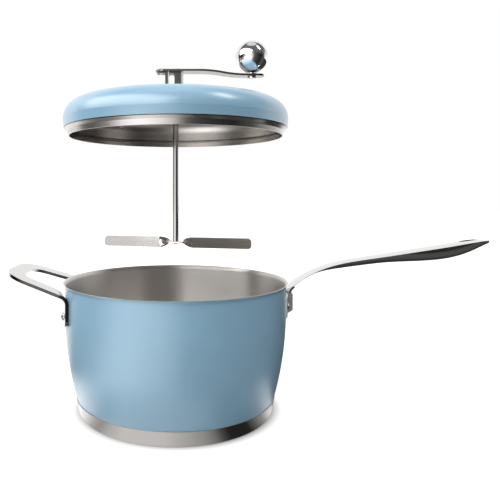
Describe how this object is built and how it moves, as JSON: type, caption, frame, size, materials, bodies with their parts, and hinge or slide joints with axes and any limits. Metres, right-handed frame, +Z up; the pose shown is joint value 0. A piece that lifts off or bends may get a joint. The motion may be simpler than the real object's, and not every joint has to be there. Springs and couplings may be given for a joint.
{
  "type": "stovetop_popcorn_popper",
  "caption": "Steel saucepan with long and loop handles and a domed lid whose hand crank turns a stirrer over the pan's floor, lid shown lifted",
  "frame": {"origin": "centre of the underside of the pan's base, on the vertical axis of pan, lid and crank", "axes": "+Z up along the crank shaft, +X along the long handle, +Y to the left of it seen from above"},
  "size_m": [0.4718, 0.2208, 0.3622],
  "materials": {
    "blue_paint": "satin paint outside, bare brushed steel inside",
    "brushed_steel": "brushed round the axis",
    "aluminium_core": "plain",
    "satin_steel": "satin",
    "polished_steel": "polished",
    "fastener_steel": "bright",
    "shaft_steel": "drawn",
    "cast_steel": "cast and tumbled",
    "knob_chrome": "mirror"
  },
  "bodies": {
    "pot": {"pot_shell": "blue_paint", "base_core": "aluminium_core", "base_cap": "brushed_steel", "helper_handle": "satin_steel", "helper_rivets": "fastener_steel", "handle_bracket": "satin_steel", "bracket_rivets": "fastener_steel", "long_handle": "polished_steel", "handle_pin": "fastener_steel"},
    "lid": {"lid_shell": "blue_paint", "lid_bush": "fastener_steel", "bush_washer": "fastener_steel", "bush_nut": "fastener_steel"},
    "crank": {"crank_shaft": "shaft_steel", "crank_hub": "cast_steel", "hub_pin": "fastener_steel", "crank_arm": "polished_steel", "arm_rivets": "fastener_steel", "thrust_washer": "fastener_steel", "retaining_clip": "fastener_steel", "stirrer_blade": "satin_steel", "blade_rivet": "fastener_steel", "knob_washer": "fastener_steel"},
    "knob": {"knob_ball": "knob_chrome", "knob_screw": "fastener_steel"}
  },
  "joints": [
    {"name": "lid_lift", "type": "slide", "parent": "pot", "child": "lid", "axis": [0, 0, 1], "range_m": [-0.1487, 0]},
    {"name": "crank_spin", "type": "hinge", "parent": "lid", "child": "crank", "pos_m": [0, 0, 0.304], "axis": [0, 0, 1], "continuous": true},
    {"name": "knob_spin", "type": "hinge", "parent": "crank", "child": "knob", "pos_m": [0.076, 0, 0.346], "axis": [0, 0, 1], "continuous": true}
  ]
}
